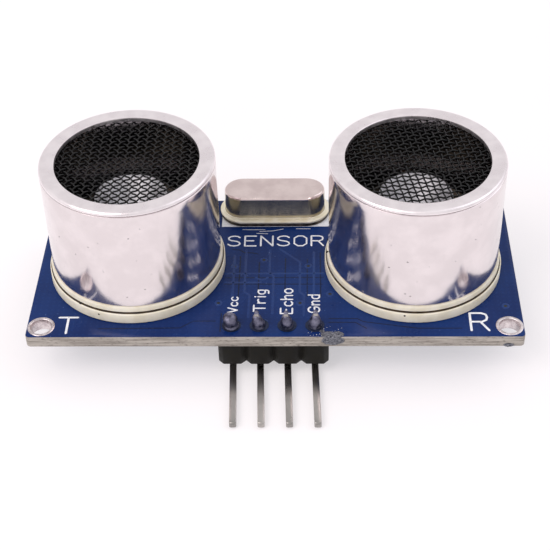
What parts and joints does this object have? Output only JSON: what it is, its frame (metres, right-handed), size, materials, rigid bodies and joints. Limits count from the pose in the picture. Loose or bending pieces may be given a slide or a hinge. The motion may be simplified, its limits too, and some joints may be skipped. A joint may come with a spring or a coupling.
{
  "type": "ultrasonic distance sensor",
  "caption": "Ultrasonic distance sensor board with two meshed metal transducer cans, a metal crystal and a right-angle pin header along one long edge.",
  "frame": {"origin": "centre of the four mounting holes, on the board's back face", "axes": "+X along the board from the sender (T) to the receiver (R), +Y across the board away from the header, +Z out of the transducers, so the pins leave along -Y"},
  "size_m": [0.0452, 0.0269, 0.0176],
  "materials": {
    "board_laminate": "glass-fibre laminate under a glossy blue solder mask",
    "tinned_metal": "tin-plated copper, slightly dull",
    "solder": "dull solder",
    "header_plastic": "black moulded strip",
    "header_pin": "tin-plated square brass pin",
    "can_aluminium": "drawn, satin",
    "black_mesh": "black coated woven wire",
    "cone_aluminium": "bright, spun thin",
    "plate_brass": "plain sheet",
    "piezo_ceramic": "silvered ceramic disc",
    "silicone": "soft white silicone",
    "base_plastic": "ivory moulding, slightly glossy",
    "plated_wire": "tin-plated leads",
    "copper_wire": "fine copper wire",
    "crystal_steel": "nickel-plated drawn steel",
    "seal_glass": "dark sealing glass",
    "quartz": "thin clear blank",
    "silver_film": "vacuum-deposited silver",
    "moulding_compound": "black epoxy moulding",
    "silicon": "polished silicon",
    "resistor_ceramic": "black glaze on ceramic",
    "capacitor_ceramic": "tan sintered ceramic"
  },
  "bodies": {
    "root": {"amplifier_chip_body": "moulding_compound", "amplifier_chip_leads": "plated_wire", "blank_electrodes": "silver_film", "capacitor_bodies": "capacitor_ceramic", "capacitor_ends": "tinned_metal", "chip_dies": "silicon", "controller_chip_body": "moulding_compound", "controller_chip_leads": "plated_wire", "crystal_base": "crystal_steel", "crystal_can": "crystal_steel", "crystal_clips": "crystal_steel", "crystal_glass_seals": "seal_glass", "crystal_leads": "plated_wire", "crystal_pads": "tinned_metal", "crystal_solder": "solder", "driver_chip_body": "moulding_compound", "driver_chip_leads": "plated_wire", "header_housing": "header_plastic", "header_pads": "tinned_metal", "header_pin_echo": "header_pin", "header_pin_gnd": "header_pin", "header_pin_trig": "header_pin", "header_pin_vcc": "header_pin", "header_solder": "solder", "mounting_hole_rings": "tinned_metal", "pcb_board": "board_laminate", "quartz_blank": "quartz", "receiver_base": "base_plastic", "receiver_can": "can_aluminium", "receiver_diaphragm": "plate_brass", "receiver_lead_wires": "copper_wire", "receiver_mesh": "black_mesh", "receiver_piezo_disc": "piezo_ceramic", "receiver_resonator_cone": "cone_aluminium", "receiver_silicone_seat": "silicone", "receiver_terminals": "plated_wire", "resistor_bodies": "resistor_ceramic", "resistor_ends": "tinned_metal", "sender_base": "base_plastic", "sender_can": "can_aluminium", "sender_diaphragm": "plate_brass", "sender_lead_wires": "copper_wire", "sender_mesh": "black_mesh", "sender_piezo_disc": "piezo_ceramic", "sender_resonator_cone": "cone_aluminium", "sender_silicone_seat": "silicone", "sender_terminals": "plated_wire", "surface_lands": "tinned_metal", "transducer_pads": "tinned_metal", "transducer_solder": "solder", "transistor_body": "moulding_compound", "transistor_leads": "plated_wire"}
  },
  "joints": []
}
